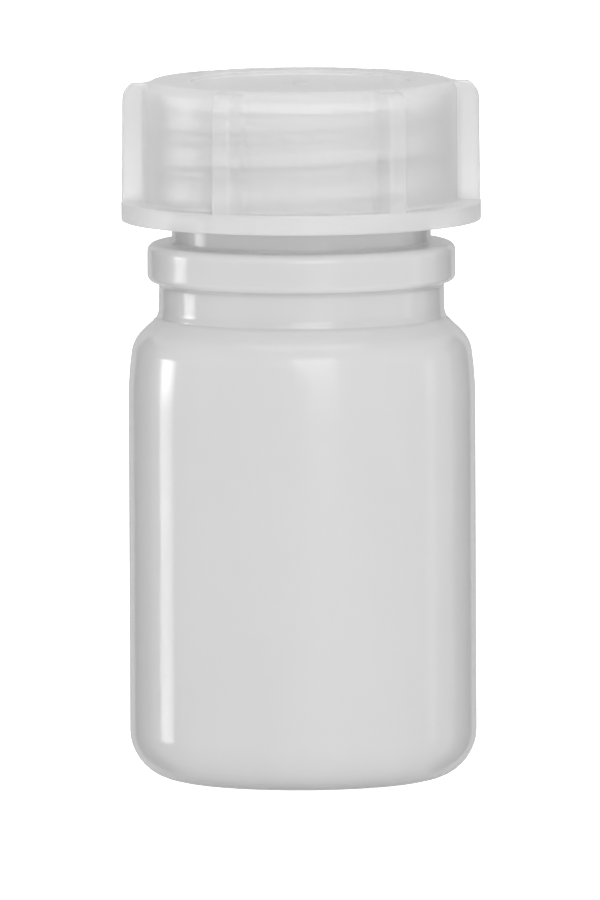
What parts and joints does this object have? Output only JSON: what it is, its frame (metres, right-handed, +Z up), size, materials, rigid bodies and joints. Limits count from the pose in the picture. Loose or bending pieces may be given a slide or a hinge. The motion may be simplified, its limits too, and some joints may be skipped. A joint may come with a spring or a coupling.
{
  "type": "reagent bottle",
  "caption": "Round wide-neck reagent bottle in milky translucent plastic, with a collar under its threaded neck and a lugged, flanged screw cap that seals with a plug insert.",
  "frame": {"origin": "centre of the base on the plane the bottle stands on", "axes": "+Z up along the bottle's axis and the thread; -Y is the front, where the lug left of centre is at 27 degrees and the one right of centre at 33 degrees"},
  "size_m": [0.0406, 0.0406, 0.0789],
  "materials": {
    "bottle_plastic": "natural polyethylene, milky translucent, soft satin with waxy highlights",
    "cap_plastic": "natural polypropylene, cloudy translucent, smooth moulded",
    "insert_plastic": "soft natural polyethylene, milky"
  },
  "bodies": {
    "bottle": {"bottle": "bottle_plastic"},
    "insert": {"sealing_insert": "insert_plastic"},
    "cap": {"screw_cap": "cap_plastic"}
  },
  "joints": [
    {"name": "cap_lift", "type": "slide", "parent": "bottle", "child": "insert", "axis": [0, 0, 1], "range_m": [0, 0.02]},
    {"name": "cap_turn", "type": "hinge", "parent": "insert", "child": "cap", "pos_m": [0, 0, 0.07], "axis": [0, 0, 1], "range_deg": [0, 1800]}
  ],
  "couplings": [
    {"joint": "cap_lift", "follows": "cap_turn", "m_per_rad": 0.00063662}
  ]
}
